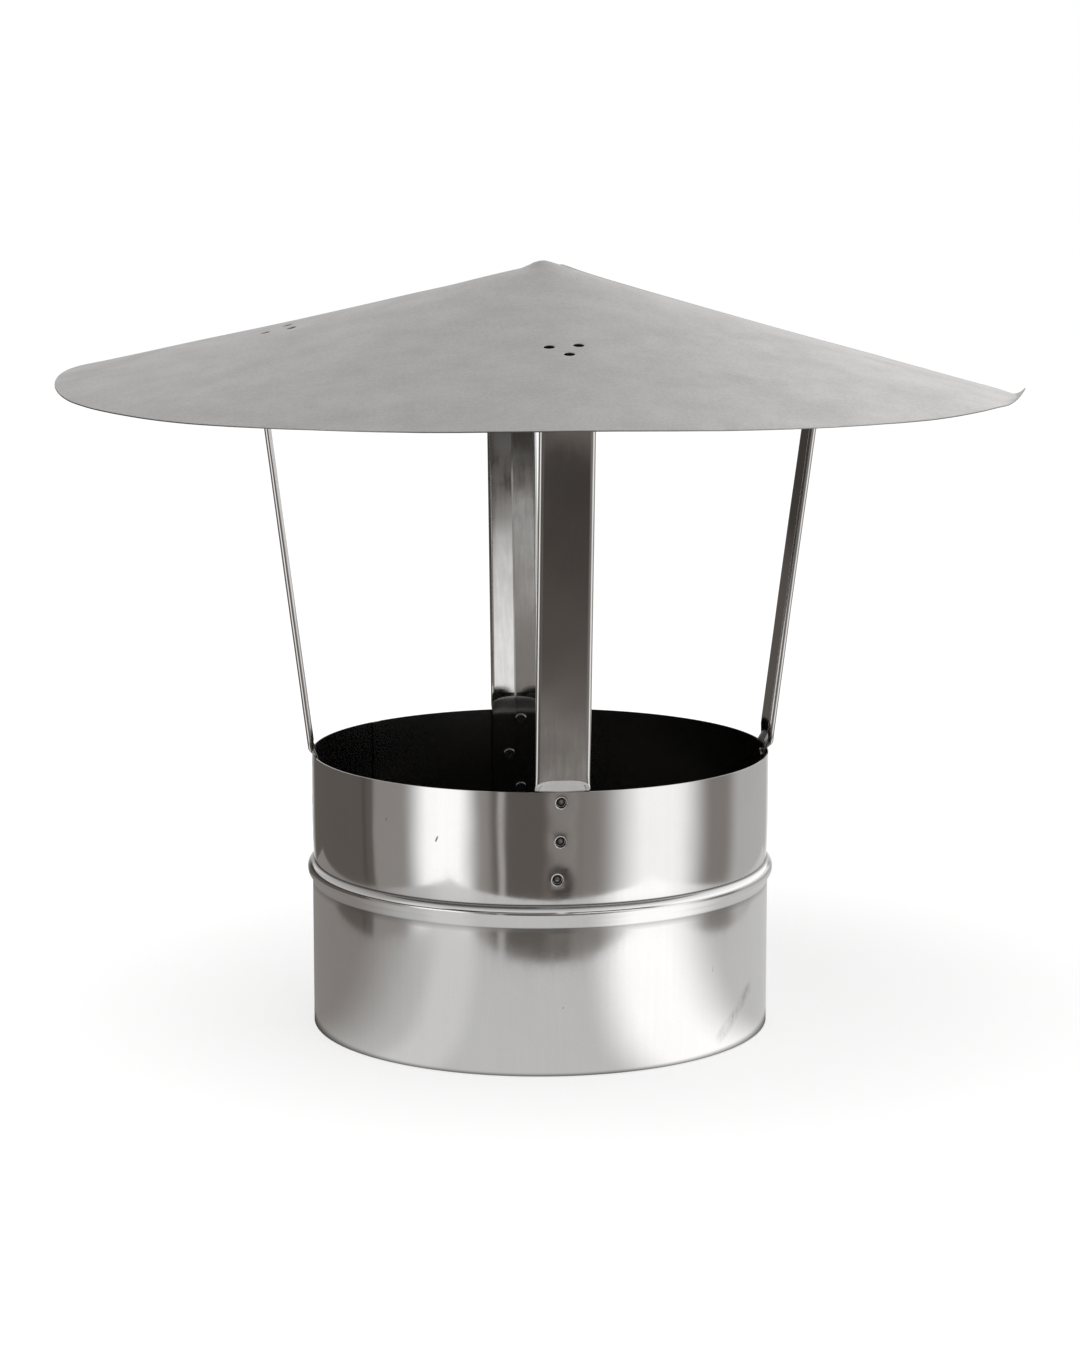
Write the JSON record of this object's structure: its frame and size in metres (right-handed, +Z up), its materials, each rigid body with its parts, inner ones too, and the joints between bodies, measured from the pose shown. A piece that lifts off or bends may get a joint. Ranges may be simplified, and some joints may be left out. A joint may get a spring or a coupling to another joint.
{
  "type": "chimney rain cap",
  "caption": "Sheet-metal chimney rain cap: a shallow cone hat on folded strip legs over a round spigot collar with a rolled stop bead, all clinched.",
  "frame": {"origin": "centre of the collar's lower rim, on the flue axis", "axes": "+Z up the flue axis towards the hat's tip; one leg strip stands on each of +X, +Y, -X and -Y, and -Y is the front"},
  "size_m": [0.415, 0.415, 0.333],
  "materials": {
    "hat_sheet": "stainless sheet with a dull mill finish, satin and slightly mottled",
    "collar_sheet": "bright stainless sheet, nearly a mirror, with faint upright streaks and a few scuffs",
    "leg_strip": "bright stainless strip, nearly a mirror, folded over at both edges"
  },
  "bodies": {
    "root": {"rain_hat": "hat_sheet", "collar_tube": "collar_sheet", "leg_front": "leg_strip", "leg_right": "leg_strip", "leg_back": "leg_strip", "leg_left": "leg_strip"}
  },
  "joints": []
}
